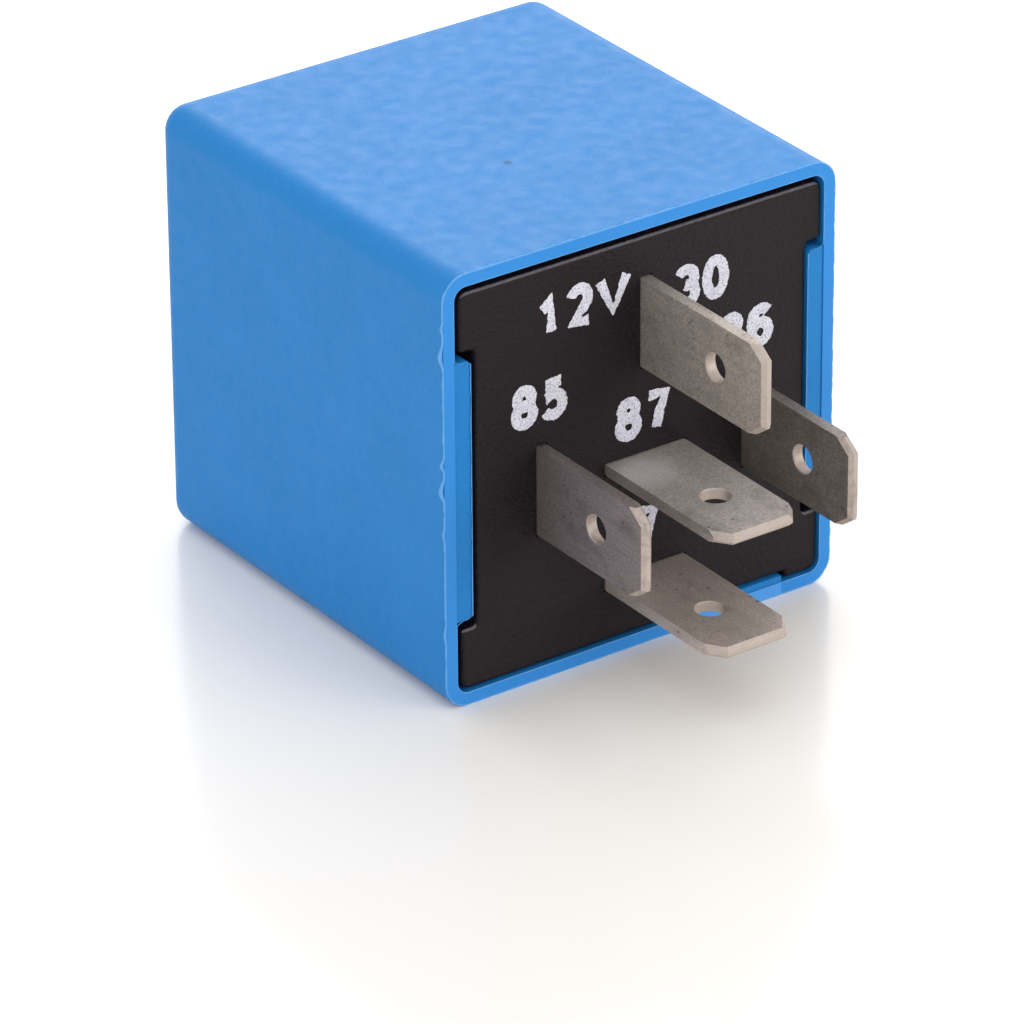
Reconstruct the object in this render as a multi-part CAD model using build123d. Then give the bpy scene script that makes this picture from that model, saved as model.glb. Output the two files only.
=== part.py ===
"""Plug-in relay: five flat blades on a moulded base, a coil and a hinged armature behind it,
and a box-shaped cover that slides over the mechanism.

Frame, in millimetres: the origin is the middle of the cover's outline on the base's seating face.
-Y is the side that plugs in, +Y runs into the cover, +Z is up with the relay lying on its side,
and +X is to the right when the blades are looked at.
"""
from build123d import *
import math
import os

# ---------------------------------------------------------------- cover
COVER_WIDTH = 31.0          # along X
COVER_HEIGHT = 30.85        # along Z
COVER_DEPTH = 32.7          # along Y
RIM_PROUD = 0.2             # how far the rim stands in front of the seating face
WALL = 0.9
COVER_LONG_RADIUS = 1.8     # outer edges that run along Y
COVER_BACK_RADIUS = 1.5
CAVITY_RADIUS = 0.9
CAVITY_BACK_RADIUS = 0.6
RIM_EDGE_RADIUS = 0.15
PAD_REACH = 2.15            # from the cover's outer side to the pad's inner face
PAD_HALF_HEIGHT = 9.25
PAD_DEPTH = 5.5
PAD_STEP = 0.08             # the pads' front faces sit this far behind the rim
PAD_EDGE_RADIUS = 0.4
LEDGE_X = (2.4, 11.5)       # thicker stretch of the lower rim
LEDGE_HEIGHT = 0.5
LEDGE_DEPTH = 2.2

# ---------------------------------------------------------------- base
BASE_THICKNESS = 3.2
BASE_WIDTH = 28.6
BASE_HEIGHT = 28.3
BASE_CENTRE = (0.2, -0.25)
BASE_CORNER_RADIUS = 0.7
BASE_EDGE_RADIUS = 0.3
BASE_NOTCH_DEPTH = 1.25
BASE_NOTCH_HALF_HEIGHT = 9.9
BASE_NOTCH_Z = -0.15
NOTCH_CORNER_RADIUS = 0.35
LEDGE_GAP = (0.4, 0.15)     # beside and above the cover's ledge
SLOT_END_GAP = 0.15         # around a blade's narrow edges
SLOT_FACE_GAP = 0.08        # over a blade's wide faces
RAIL_X = (10.9, 12.1)       # guide rails behind the plate, at both sides
RAIL_END_Y = 7.4
RAIL_HALF_HEIGHT = 8.6
TOP_WALL_HALF_WIDTH = 11.0
TOP_WALL_END_Y = 5.6
TOP_WALL_Z = (12.0, 13.0)
UPPER_REST_Z = (4.6, 9.0)   # blocks that the yoke's foot stands against
UPPER_REST_GAP = 1.6        # from the middle to the upper rest
LOWER_REST_TOP_Z = -2.6
LOWER_REST_GAP = 0.45       # from the middle blade's edge to the lower rests
SHELF_HALF_WIDTH = 4.4      # shelf under the long strip of the lower blade
SHELF_END_Y = 21.0
SHELF_BOTTOM_Z = -12.7
SHELF_POCKET_HALF_WIDTH = 3.4
SHELF_POCKET_Y = (6.0, 19.6)
SHELF_POCKET_TOP_Z = -11.6
STRIP_STAKE_Y = 17.0
STRIP_STAKE_RADIUS = 0.9
STRIP_STAKE_HEAD_RADIUS = 1.5
STRIP_STAKE_HEAD_HEIGHT = 0.5

# ---------------------------------------------------------------- blades
BLADE_WIDTH = 6.3
BLADE_THICKNESS = 0.8
TIP_CUT_ACROSS = 0.8
TIP_CUT_ALONG = 1.1
TIP_BEVEL = 0.27
DETENT_RADIUS = 1.0
DETENT_FROM_TIP = 5.05
DETENT_LIP = 0.1
MIDDLE_X = 0.45             # blades 30 and 87, and the coil, share this X
SIDE_OFFSET = 8.2           # from there to blades 85 and 86
# Each blade: X, Z, whether it stands upright, length from the seating face to the tip.
BLADES = {
    "30": (MIDDLE_X, 7.9, True, 13.0),
    "85": (MIDDLE_X - SIDE_OFFSET, -1.75, True, 11.5),
    "86": (MIDDLE_X + SIDE_OFFSET, -1.75, True, 11.5),
    "87_centre": (MIDDLE_X, -1.9, False, 12.6),
    "87_lower": (MIDDLE_X, -10.3, False, 12.1),
}
SHOULDER_WIDTH = 7.5
SHOULDER_END_Y = 6.4
SHOULDER_CUT = 0.8
BEND = 0.8                  # centreline radius of a bend in blade metal
TAB_30_RUN = 5.6            # straight part of blade 30's tab
LINK_RUN = 0.2              # straight part of the centre blade before it turns down

# ---------------------------------------------------------------- magnet
COIL_Z = 0.8
YOKE_THICKNESS = 1.6
YOKE_WIDTH = 13.0
YOKE_FRONT_Y = 6.2
YOKE_END_Y = 24.8
YOKE_TOP_Z = 11.0
YOKE_BOTTOM_Z = -6.4
YOKE_BEND = 1.4
YOKE_CORNER_RADIUS = 1.2
SPIGOT_RADIUS = 2.25
SPIGOT_HEAD_RADIUS = 2.8
SPIGOT_HEAD_HEIGHT = 0.5
CORE_RADIUS = 3.5
POLE_RADIUS = 4.75
POLE_FACE_Y = 24.7
POLE_EDGE_CUT = 0.25
POLE_GAP = 0.1              # between the bobbin's rear flange and the pole head
FLANGE_RADIUS = 8.2
FLANGE_THICKNESS = 1.0
BOBBIN_TUBE_RADIUS = 4.5
BOBBIN_FRONT_Y = 7.85
BOBBIN_REAR_Y = 23.4
WINDING_RADIUS = 7.4
LEAD_NOTCH_DEPTH = 1.6
LEAD_NOTCH_Z = (-1.0, 0.2)
LUG_X = (MIDDLE_X + 2.6, MIDDLE_X + 7.2)
LUG_TOP_Z = -4.0
STOP_STAKE = (MIDDLE_X + 4.8, -7.7)
STOP_STAKE_RADIUS = 0.7
STOP_STAKE_HEAD_RADIUS = 0.95
STOP_STAKE_HEAD_HEIGHT = 0.4
LOOSE_FIT = 0.03            # radial gap of a rivet or a core in its hole

# ---------------------------------------------------------------- rivets
RIVET_RADIUS = 0.8
ARMATURE_RIVET_RADIUS = 0.75
RIVET_EDGE_RADIUS = 0.3
TERMINAL_RIVETS = ((MIDDLE_X + 3.0, 6.6), (MIDDLE_X + 5.3, 6.6))
TERMINAL_RIVET_HEAD = (1.1, 0.5)    # radius and height of a head
YOKE_RIVETS = ((MIDDLE_X - 2.3, 14.6), (MIDDLE_X + 2.3, 14.6))
YOKE_RIVET_HEAD = (1.4, 0.6)
ARMATURE_RIVETS = ((MIDDLE_X - 2.1, 4.6), (MIDDLE_X + 2.1, 4.6))
ARMATURE_RIVET_HEAD = (1.2, 0.5)
CONTACT_TAIL_HEIGHT = 0.45
CONTACT_TAIL_EDGE = 0.25
MOVING_TAIL_RADIUS = 1.25
FIXED_TAIL_RADIUS = 1.05

# ---------------------------------------------------------------- coil connections
FINGER_Z = (-4.3, -3.0)
FINGER_Y = (5.0, 12.4)
FINGER_FACE = SIDE_OFFSET - BLADE_THICKNESS / 2     # from the middle to a finger's inner face
COIL_LEAD_Y = 9.7
COIL_LEAD_RADIUS = 0.2
RESISTOR_Y = 11.3
RESISTOR_Z = -8.3
RESISTOR_RADIUS = 1.1
RESISTOR_LENGTH = 6.2
RESISTOR_EDGE_RADIUS = 0.35
RESISTOR_LEAD_RADIUS = 0.28
RESISTOR_LEAD_BEND = 1.1
RESISTOR_LEAD_GAP = 0.02
SOLDER_RADIUS = 0.6
SOLDER_HEIGHT = 0.75

# ---------------------------------------------------------------- armature and contacts
HINGE_Y = 24.85
HINGE_Z = 10.9
OPEN_ANGLE = 2.5            # degrees, from the closed position to rest
ARMATURE_THICKNESS = 1.5
ARMATURE_TOP_WIDTH = 12.0
ARMATURE_LOW_WIDTH = 9.6
ARMATURE_NECK_Z = (-1.5, 2.0)       # the plate narrows between these
ARMATURE_BOTTOM_Z = -8.5
ARMATURE_CORNER_RADIUS = 0.6
ARMATURE_TOP_CUT = 0.8      # clears the leaf's hump
LEAF_THICKNESS = 0.3
LEAF_WIDTH = 7.0
LEAF_TIP_WIDTH = 4.4
LEAF_TAPER_Z = (-9.6, -7.0)
LEAF_START_Y = 11.5
LEAF_TIP_Z = -13.65
HUMP_RISE = 40.0            # degrees
HUMP_FOOT_RADIUS = 2.5
HUMP_RADIUS = 2.0
HUMP_WINDOW = 2.4
HUMP_WINDOW_START_Y = 19.5
HUMP_WINDOW_BOTTOM_Z = 7.6
CONTACT_Z = -12.15
CONTACT_RADIUS = 1.55
CONTACT_THICKNESS = 0.75
CONTACT_EDGE_RADIUS = 0.3
TAB_CENTRE_Y = 24.4
TAB_BOTTOM_Z = -13.75
STOP_THICKNESS = 0.6
STOP_Z = (-9.0, -6.4)
STOP_FINGER_Y = 27.6
STOP_START_X = MIDDLE_X + 3.0
STOP_ARM_X = MIDDLE_X + 6.4
STOP_BEND = 0.6
STOP_FINGER_RUN = 4.0

closed_back_y = HINGE_Y + ARMATURE_THICKNESS
strip_87_top = BLADES["87_lower"][1] + BLADE_THICKNESS / 2
strip_87_bottom = BLADES["87_lower"][1] - BLADE_THICKNESS / 2


# ---------------------------------------------------------------- helpers
def block(x_range, y_range, z_range):
    """Box between three pairs of limits."""
    sizes = [abs(b - a) for a, b in (x_range, y_range, z_range)]
    middle = [(a + b) / 2 for a, b in (x_range, y_range, z_range)]
    return Pos(*middle) * Box(*sizes)


def rod_y(x, z, radius, y_range):
    """Round bar along Y."""
    y_low, y_high = y_range
    return Pos(x, (y_low + y_high) / 2, z) * Rot(X=90) * Cylinder(radius, y_high - y_low)


def rod_z(x, y, radius, z_range):
    """Round bar along Z."""
    z_low, z_high = z_range
    return Pos(x, y, (z_low + z_high) / 2) * Cylinder(radius, z_high - z_low)


def prism_y(sketch, y_low, y_high):
    """Extrude an outline drawn in X and Z from y_low to y_high."""
    return extrude(Plane.XZ.offset(-y_low) * sketch, amount=-(y_high - y_low))


def strip_side(start, heading, steps, offset):
    """Edges of one side of a bent strip, offset to the left of its centreline."""
    angle = math.radians(heading)
    point = (start[0] - offset * math.sin(angle), start[1] + offset * math.cos(angle))
    edges = []
    for kind, size, turn in steps:
        direction = (math.cos(angle), math.sin(angle))
        if kind == "run":
            edge = Line(point, (point[0] + size * direction[0], point[1] + size * direction[1]))
        else:
            radius = size - offset * math.copysign(1, turn)
            edge = JernArc(point, direction, radius, turn)
            angle += math.radians(turn)
        edges.append(edge)
        point = ((edge @ 1).X, (edge @ 1).Y)
    return edges


def bent_strip(plane, start, heading, steps, thickness, width, middle):
    """Sheet metal of one width whose centreline is drawn in a plane and runs and bends by steps."""
    left = strip_side(start, heading, steps, thickness / 2)
    right = strip_side(start, heading, steps, -thickness / 2)
    caps = [Line(left[0] @ 0, right[0] @ 0), Line(left[-1] @ 1, right[-1] @ 1)]
    profile = make_face(Curve() + left + right + caps)
    return extrude(plane.offset(middle) * profile, amount=width / 2, both=True)


def swing_open(solid):
    """Turn a piece of the moving group from the closed position to rest."""
    return Pos(0, HINGE_Y, HINGE_Z) * Rot(X=OPEN_ANGLE) * Pos(0, -HINGE_Y, -HINGE_Z) * solid


def blade(name):
    """Flat blade from its bevelled tip to the back of the base's plate, with its detent hole."""
    x, z, upright, length = BLADES[name]
    half = BLADE_WIDTH / 2
    tip = -length
    outline = Polyline(
        (-half, BASE_THICKNESS),
        (-half, tip + TIP_CUT_ALONG),
        (-half + TIP_CUT_ACROSS, tip),
        (half - TIP_CUT_ACROSS, tip),
        (half, tip + TIP_CUT_ALONG),
        (half, BASE_THICKNESS),
        close=True,
    )
    plate = extrude(make_face(outline), amount=BLADE_THICKNESS / 2, both=True)
    lowest_bevel = tip + TIP_CUT_ALONG
    tip_edges = [
        edge
        for edge in plate.edges()
        if edge.center().Y < lowest_bevel and abs(edge.center().Z) > BLADE_THICKNESS / 4
    ]
    plate = chamfer(tip_edges, TIP_BEVEL)
    plate -= Pos(0, tip + DETENT_FROM_TIP, 0) * Cylinder(DETENT_RADIUS, BLADE_THICKNESS)
    lips = plate.edges().filter_by(GeomType.CIRCLE)
    plate = fillet(lips, DETENT_LIP)
    turn = Rot(Y=90) if upright else Rot()
    return Pos(x, 0, z) * turn * plate


# ---------------------------------------------------------------- casing
def make_cover():
    """Five-sided box with two catch pads inside its mouth and a thicker stretch of lower rim."""
    front = -RIM_PROUD
    back = front + COVER_DEPTH
    shell = prism_y(RectangleRounded(COVER_WIDTH, COVER_HEIGHT, COVER_LONG_RADIUS), front, back)
    shell = fillet(shell.faces().sort_by(Axis.Y)[-1].edges(), COVER_BACK_RADIUS)
    shell = fillet(shell.faces().sort_by(Axis.Y)[0].edges(), RIM_EDGE_RADIUS)
    cavity_outline = RectangleRounded(COVER_WIDTH - 2 * WALL, COVER_HEIGHT - 2 * WALL, CAVITY_RADIUS)
    cavity = prism_y(cavity_outline, front - 1, back - WALL)
    cavity = fillet(cavity.faces().sort_by(Axis.Y)[-1].edges(), CAVITY_BACK_RADIUS)
    shell -= cavity
    inner_face = COVER_WIDTH / 2 - PAD_REACH
    pad_front = front + PAD_STEP
    pad = block(
        (inner_face, COVER_WIDTH / 2 - WALL / 2),
        (pad_front, PAD_DEPTH),
        (-PAD_HALF_HEIGHT, PAD_HALF_HEIGHT),
    )
    inner_edges = pad.faces().sort_by(Axis.X)[0].edges().filter_by(Axis.Z)
    pad = chamfer(inner_edges.sort_by(Axis.Y)[-1], PAD_REACH - WALL)
    corner_edges = pad.faces().sort_by(Axis.X)[0].edges().filter_by(Axis.Y)
    pad = fillet(corner_edges, PAD_EDGE_RADIUS)
    shell += pad + mirror(pad, Plane.YZ)
    floor = -COVER_HEIGHT / 2 + WALL
    ledge = block(LEDGE_X, (pad_front, LEDGE_DEPTH), (floor - WALL / 2, floor + LEDGE_HEIGHT))
    ledge_top = ledge.faces().sort_by(Axis.Z)[-1].edges().filter_by(Axis.X)
    ledge = chamfer(ledge_top.sort_by(Axis.Y)[-1], LEDGE_HEIGHT)
    return shell + ledge


def base_outline():
    """Front outline of the base: a rounded plate with a notch for each pad of the cover."""
    centre_x, centre_z = BASE_CENTRE
    outline = Pos(centre_x, centre_z) * Rectangle(BASE_WIDTH, BASE_HEIGHT)
    for side in (-1, 1):
        edge_x = centre_x + side * BASE_WIDTH / 2
        outline -= Pos(edge_x, BASE_NOTCH_Z) * Rectangle(2 * BASE_NOTCH_DEPTH, 2 * BASE_NOTCH_HALF_HEIGHT)
    corners = outline.vertices().filter_by(lambda v: abs(v.Y - centre_z) > BASE_HEIGHT / 2 - 1)
    outline = fillet(corners, BASE_CORNER_RADIUS)
    def at_notch(v):
        return abs(abs(v.Y - BASE_NOTCH_Z) - BASE_NOTCH_HALF_HEIGHT) < 0.01

    corners = outline.vertices().filter_by(at_notch)
    outline = fillet(corners, NOTCH_CORNER_RADIUS)
    beside, above = LEDGE_GAP
    notch_width = LEDGE_X[1] - LEDGE_X[0] + 2 * beside
    notch_middle = (LEDGE_X[0] + LEDGE_X[1]) / 2
    ledge_top = -COVER_HEIGHT / 2 + WALL + LEDGE_HEIGHT
    notch_top = ledge_top + above
    below = BASE_HEIGHT / 2
    return outline - Pos(notch_middle, notch_top - below / 2) * Rectangle(notch_width, below)


def make_base():
    """Moulded base: plate with blade slots, yoke rests, guide walls and the shelf of the lower strip."""
    plate = prism_y(base_outline(), 0, BASE_THICKNESS)
    base = fillet(plate.faces().sort_by(Axis.Y)[0].edges(), BASE_EDGE_RADIUS)
    inside = (BASE_THICKNESS, YOKE_FRONT_Y)
    rest_x = YOKE_WIDTH / 2
    base += block((MIDDLE_X - rest_x, MIDDLE_X - UPPER_REST_GAP), inside, UPPER_REST_Z)
    rail_y = (BASE_THICKNESS, RAIL_END_Y)
    for side in (-1, 1):
        near = MIDDLE_X + side * (BLADE_WIDTH / 2 + LOWER_REST_GAP)
        base += block(sorted((near, MIDDLE_X + side * rest_x)), inside, (YOKE_BOTTOM_Z, LOWER_REST_TOP_Z))
        rail_x = sorted((side * RAIL_X[0], side * RAIL_X[1]))
        base += block(rail_x, rail_y, (-RAIL_HALF_HEIGHT, RAIL_HALF_HEIGHT))
    wall_x = (-TOP_WALL_HALF_WIDTH, TOP_WALL_HALF_WIDTH)
    base += block(wall_x, (BASE_THICKNESS, TOP_WALL_END_Y), TOP_WALL_Z)
    shelf_x = (MIDDLE_X - SHELF_HALF_WIDTH, MIDDLE_X + SHELF_HALF_WIDTH)
    shelf = block(shelf_x, (BASE_THICKNESS, SHELF_END_Y), (SHELF_BOTTOM_Z, strip_87_bottom))
    pocket_x = (MIDDLE_X - SHELF_POCKET_HALF_WIDTH, MIDDLE_X + SHELF_POCKET_HALF_WIDTH)
    shelf -= block(pocket_x, SHELF_POCKET_Y, (SHELF_BOTTOM_Z - 1, SHELF_POCKET_TOP_Z))
    stake = rod_z(MIDDLE_X, STRIP_STAKE_Y, STRIP_STAKE_RADIUS, (strip_87_bottom, strip_87_top))
    head_z = (strip_87_top, strip_87_top + STRIP_STAKE_HEAD_HEIGHT)
    head = rod_z(MIDDLE_X, STRIP_STAKE_Y, STRIP_STAKE_HEAD_RADIUS, head_z)
    base += shelf + stake + fillet(head.faces().sort_by(Axis.Z)[-1].edges(), RIVET_EDGE_RADIUS)
    across = BLADE_WIDTH + 2 * SLOT_END_GAP
    through = BLADE_THICKNESS + 2 * SLOT_FACE_GAP
    for x, z, upright, _ in BLADES.values():
        size = (through, across) if upright else (across, through)
        base -= Pos(x, BASE_THICKNESS / 2, z) * Box(size[0], BASE_THICKNESS + 1, size[1])
    return base


# ---------------------------------------------------------------- terminals
def make_terminal_30():
    """Upright blade 30, whose inner end turns sideways and lies on the yoke's foot."""
    x, z = BLADES["30"][:2]
    tab_centre_y = YOKE_FRONT_Y - BLADE_THICKNESS / 2
    straight = tab_centre_y - BEND
    tab = bent_strip(
        Plane.XY,
        (x, BASE_THICKNESS),
        90,
        [("run", straight - BASE_THICKNESS, 0), ("bend", BEND, -90), ("run", TAB_30_RUN, 0)],
        BLADE_THICKNESS,
        BLADE_WIDTH,
        z,
    )
    terminal = blade("30") + tab
    for rivet_x, rivet_z in TERMINAL_RIVETS:
        terminal -= rod_y(rivet_x, rivet_z, RIVET_RADIUS + LOOSE_FIT, (BASE_THICKNESS, YOKE_FRONT_Y))
    return terminal


def make_coil_terminal(name):
    """Upright blade 85 or 86 with shoulders behind the base and a finger for the coil's wire."""
    x, z = BLADES[name][:2]
    thickness_range = (x - BLADE_THICKNESS / 2, x + BLADE_THICKNESS / 2)
    half = SHOULDER_WIDTH / 2
    shoulders = block(thickness_range, (BASE_THICKNESS, SHOULDER_END_Y), (z - half, z + half))
    shoulders = chamfer(shoulders.edges().filter_by(Axis.X).sort_by(Axis.Y)[-2:], SHOULDER_CUT)
    finger = block(thickness_range, FINGER_Y, FINGER_Z)
    return blade(name) + shoulders + finger


def make_terminal_87_centre():
    """Flat blade 87 in the middle, whose inner end turns down onto the lower strip."""
    x, z = BLADES["87_centre"][:2]
    drop = z - BEND - strip_87_top
    link = bent_strip(
        Plane.YZ,
        (BASE_THICKNESS, z),
        0,
        [("run", LINK_RUN, 0), ("bend", BEND, -90), ("run", drop, 0)],
        BLADE_THICKNESS,
        BLADE_WIDTH,
        x,
    )
    return blade("87_centre") + link


def make_terminal_87_lower():
    """Flat lower blade 87, whose long strip ends in an upright tab for the fixed contact."""
    x, z = BLADES["87_lower"][:2]
    straight = TAB_CENTRE_Y - BEND - BASE_THICKNESS
    drop = z - BEND - TAB_BOTTOM_Z
    strip = bent_strip(
        Plane.YZ,
        (BASE_THICKNESS, z),
        0,
        [("run", straight, 0), ("bend", BEND, -90), ("run", drop, 0)],
        BLADE_THICKNESS,
        BLADE_WIDTH,
        x,
    )
    strip -= rod_z(x, STRIP_STAKE_Y, STRIP_STAKE_RADIUS + LOOSE_FIT, (z - 1, z + 1))
    strip -= rod_y(x, CONTACT_Z, RIVET_RADIUS + LOOSE_FIT, (TAB_CENTRE_Y - 1, TAB_CENTRE_Y + 1))
    return blade("87_lower") + strip


# ---------------------------------------------------------------- magnet
def make_yoke():
    """L-shaped iron yoke: its foot stands behind the base and its leg runs over the coil."""
    half = YOKE_THICKNESS / 2
    yoke = bent_strip(
        Plane.YZ,
        (YOKE_FRONT_Y + half, YOKE_BOTTOM_Z),
        90,
        [
            ("run", YOKE_TOP_Z - half - YOKE_BEND - YOKE_BOTTOM_Z, 0),
            ("bend", YOKE_BEND, -90),
            ("run", YOKE_END_Y - YOKE_FRONT_Y - half - YOKE_BEND, 0),
        ],
        YOKE_THICKNESS,
        YOKE_WIDTH,
        MIDDLE_X,
    )
    yoke = fillet(yoke.edges().filter_by(Axis.Y).sort_by(Axis.Z)[:2], YOKE_CORNER_RADIUS)
    through_foot = (YOKE_FRONT_Y - 1, YOKE_FRONT_Y + YOKE_THICKNESS + 1)
    through_leg = (YOKE_TOP_Z - YOKE_THICKNESS - 1, YOKE_TOP_Z + 1)
    yoke -= rod_y(MIDDLE_X, COIL_Z, SPIGOT_RADIUS + LOOSE_FIT, through_foot)
    for x, z in TERMINAL_RIVETS:
        yoke -= rod_y(x, z, RIVET_RADIUS + LOOSE_FIT, through_foot)
    for x, y in YOKE_RIVETS:
        yoke -= rod_z(x, y, RIVET_RADIUS + LOOSE_FIT, through_leg)
    return yoke


def make_core():
    """Iron core with a round pole head at the armature and a spigot riveted in the yoke's foot."""
    foot_back = YOKE_FRONT_Y + YOKE_THICKNESS
    head_front = BOBBIN_REAR_Y + POLE_GAP
    head = rod_y(MIDDLE_X, COIL_Z, POLE_RADIUS, (head_front, POLE_FACE_Y))
    head = chamfer(head.faces().sort_by(Axis.Y)[-1].edges(), POLE_EDGE_CUT)
    rivet = rod_y(MIDDLE_X, COIL_Z, SPIGOT_HEAD_RADIUS, (YOKE_FRONT_Y - SPIGOT_HEAD_HEIGHT, YOKE_FRONT_Y))
    rivet = fillet(rivet.faces().sort_by(Axis.Y)[0].edges(), RIVET_EDGE_RADIUS)
    shank = rod_y(MIDDLE_X, COIL_Z, CORE_RADIUS, (foot_back, head_front))
    spigot = rod_y(MIDDLE_X, COIL_Z, SPIGOT_RADIUS, (YOKE_FRONT_Y, foot_back))
    return shank + head + spigot + rivet


def make_bobbin():
    """Moulded bobbin: tube, two flanges with lead notches, and a lug with a stake for the stop."""
    front = (BOBBIN_FRONT_Y, BOBBIN_FRONT_Y + FLANGE_THICKNESS)
    rear = (BOBBIN_REAR_Y - FLANGE_THICKNESS, BOBBIN_REAR_Y)
    bobbin = rod_y(MIDDLE_X, COIL_Z, BOBBIN_TUBE_RADIUS, (front[0], rear[1]))
    for y_range in (front, rear):
        bobbin += rod_y(MIDDLE_X, COIL_Z, FLANGE_RADIUS, y_range)
    for side in (-1, 1):
        notch_x = MIDDLE_X + side * FLANGE_RADIUS
        bobbin -= block(sorted((notch_x, notch_x - side * LEAD_NOTCH_DEPTH)), front, LEAD_NOTCH_Z)
    bobbin += block(LUG_X, rear, (STOP_Z[0] - 0.2, LUG_TOP_Z))
    head_y = rear[1] + STOP_THICKNESS
    stake_x, stake_z = STOP_STAKE
    bobbin += rod_y(stake_x, stake_z, STOP_STAKE_RADIUS, (rear[1], head_y))
    head = rod_y(stake_x, stake_z, STOP_STAKE_HEAD_RADIUS, (head_y, head_y + STOP_STAKE_HEAD_HEIGHT))
    bobbin += fillet(head.faces().sort_by(Axis.Y)[-1].edges(), CONTACT_TAIL_EDGE)
    return bobbin - rod_y(MIDDLE_X, COIL_Z, CORE_RADIUS + LOOSE_FIT, (front[0] - 1, rear[1] + 1))


def make_coil_winding():
    """Copper winding between the bobbin's flanges, as the solid its turns fill."""
    span = (BOBBIN_FRONT_Y + FLANGE_THICKNESS, BOBBIN_REAR_Y - FLANGE_THICKNESS)
    ring = rod_y(MIDDLE_X, COIL_Z, WINDING_RADIUS, span)
    return ring - rod_y(MIDDLE_X, COIL_Z, BOBBIN_TUBE_RADIUS, span)


def coil_lead_line(side):
    """Start and end of the wire from the winding to the finger on one side."""
    end = Vector(MIDDLE_X + side * FINGER_FACE, COIL_LEAD_Y, sum(FINGER_Z) / 2)
    from_axis = Vector(end.X - MIDDLE_X, 0, end.Z - COIL_Z)
    start = Vector(MIDDLE_X, COIL_LEAD_Y, COIL_Z) + from_axis.normalized() * (WINDING_RADIUS + 0.02)
    return start, end


def make_coil_lead(side, terminal):
    """One end of the coil's wire, from the winding to its finger."""
    start, end = coil_lead_line(side)
    path = Line(start, end)
    profile = Plane(origin=start, z_dir=end - start) * Circle(COIL_LEAD_RADIUS)
    return sweep(profile, path) - terminal


def make_resistor_body():
    """Body of the resistor that lies across the coil, with its two rounded ends."""
    body = Pos(MIDDLE_X, RESISTOR_Y, RESISTOR_Z) * Rot(Y=90) * Cylinder(RESISTOR_RADIUS, RESISTOR_LENGTH)
    return fillet(body.edges().filter_by(GeomType.CIRCLE), RESISTOR_EDGE_RADIUS)


def make_resistor_leads():
    """Two wires that run sideways from the resistor and turn up beside the fingers."""
    leads = []
    for side in (-1, 1):
        inner_x = MIDDLE_X + side * RESISTOR_LENGTH / 2
        upright_x = MIDDLE_X + side * (FINGER_FACE - RESISTOR_LEAD_RADIUS - RESISTOR_LEAD_GAP)
        path = FilletPolyline(
            (inner_x, RESISTOR_Y, RESISTOR_Z),
            (upright_x, RESISTOR_Y, RESISTOR_Z),
            (upright_x, RESISTOR_Y, FINGER_Z[1]),
            radius=RESISTOR_LEAD_BEND,
        )
        profile = Plane(origin=path @ 0, z_dir=path % 0) * Circle(RESISTOR_LEAD_RADIUS)
        leads.append(sweep(profile, path))
    return leads


def make_solder_joints(wires):
    """Solder beads where the coil's wire and the resistor's wires meet the two fingers."""
    beads = []
    for side in (-1, 1):
        middle_x = MIDDLE_X + side * (FINGER_FACE - SOLDER_HEIGHT / 2)
        for y in (COIL_LEAD_Y, RESISTOR_Y):
            middle = Pos(middle_x, y, sum(FINGER_Z) / 2)
            bead = middle * Rot(Y=90) * Cylinder(SOLDER_RADIUS, SOLDER_HEIGHT)
            for wire in wires:
                bead -= wire
            beads.append(bead.solids().sort_by(SortBy.VOLUME)[-1])
    return beads


# ---------------------------------------------------------------- armature and contacts
def make_armature():
    """Iron plate that hangs from the end of the yoke's leg and is drawn to the pole head."""
    half_top = ARMATURE_TOP_WIDTH / 2
    half_low = ARMATURE_LOW_WIDTH / 2
    top = YOKE_TOP_Z
    neck_low, neck_high = ARMATURE_NECK_Z
    outline = Polyline(
        (-half_top, top),
        (-half_top, neck_high),
        (-half_low, neck_low),
        (-half_low, ARMATURE_BOTTOM_Z),
        (half_low, ARMATURE_BOTTOM_Z),
        (half_low, neck_low),
        (half_top, neck_high),
        (half_top, top),
        close=True,
    )
    face = Pos(MIDDLE_X, 0) * make_face(outline)
    face = fillet(face.vertices(), ARMATURE_CORNER_RADIUS)
    plate = prism_y(face, HINGE_Y, closed_back_y)
    wedge = Polyline(
        (closed_back_y - ARMATURE_TOP_CUT, top),
        (closed_back_y, top - ARMATURE_TOP_CUT),
        (closed_back_y + 1, top - ARMATURE_TOP_CUT),
        (closed_back_y + 1, top + 1),
        (closed_back_y - ARMATURE_TOP_CUT, top + 1),
        close=True,
    )
    plate -= extrude(Plane.YZ * make_face(wedge), amount=ARMATURE_TOP_WIDTH, both=True)
    for x, z in ARMATURE_RIVETS:
        plate -= rod_y(x, z, ARMATURE_RIVET_RADIUS + LOOSE_FIT, (HINGE_Y - 1, closed_back_y + 1))
    return swing_open(plate)


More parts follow.
